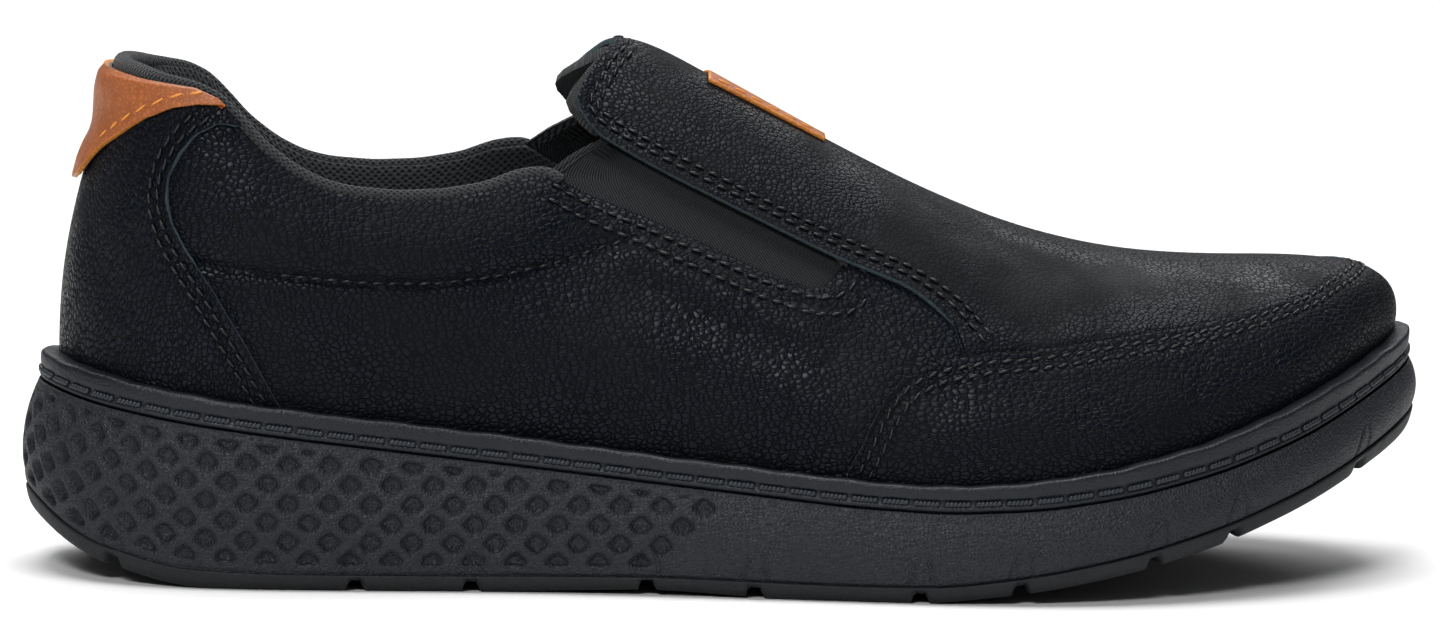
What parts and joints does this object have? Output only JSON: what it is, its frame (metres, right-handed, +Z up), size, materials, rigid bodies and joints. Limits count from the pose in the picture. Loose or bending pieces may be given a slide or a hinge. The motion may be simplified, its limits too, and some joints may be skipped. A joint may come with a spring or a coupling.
{
  "type": "slip-on loafer",
  "caption": "Right-foot slip-on loafer: hollow leather upper with elastic side gores on a thick moulded rubber sole with a dimpled side.",
  "frame": {"origin": "on the floor under the middle of the sole's box", "axes": "+X from heel to toe, +Y towards the inner side of the foot, +Z up"},
  "size_m": [0.2993, 0.1098, 0.1127],
  "materials": {
    "sole_rubber": "moulded charcoal rubber, satin",
    "tread_rubber": "moulded black rubber, matt",
    "leather": "pebbled black full-grain leather",
    "tan_leather": "fine-grained tan leather",
    "elastic": "ribbed black elastic",
    "lining": "dark grey knitted mesh"
  },
  "bodies": {
    "root": {"outsole": "tread_rubber", "midsole": "sole_rubber", "welt": "sole_rubber", "insole": "lining", "upper": "leather", "vamp_tongue": "leather", "mudguard": "leather", "counter": "leather", "heel_tab": "tan_leather", "gore_lateral": "elastic", "gore_medial": "elastic", "instep_tag": "tan_leather"}
  },
  "joints": []
}
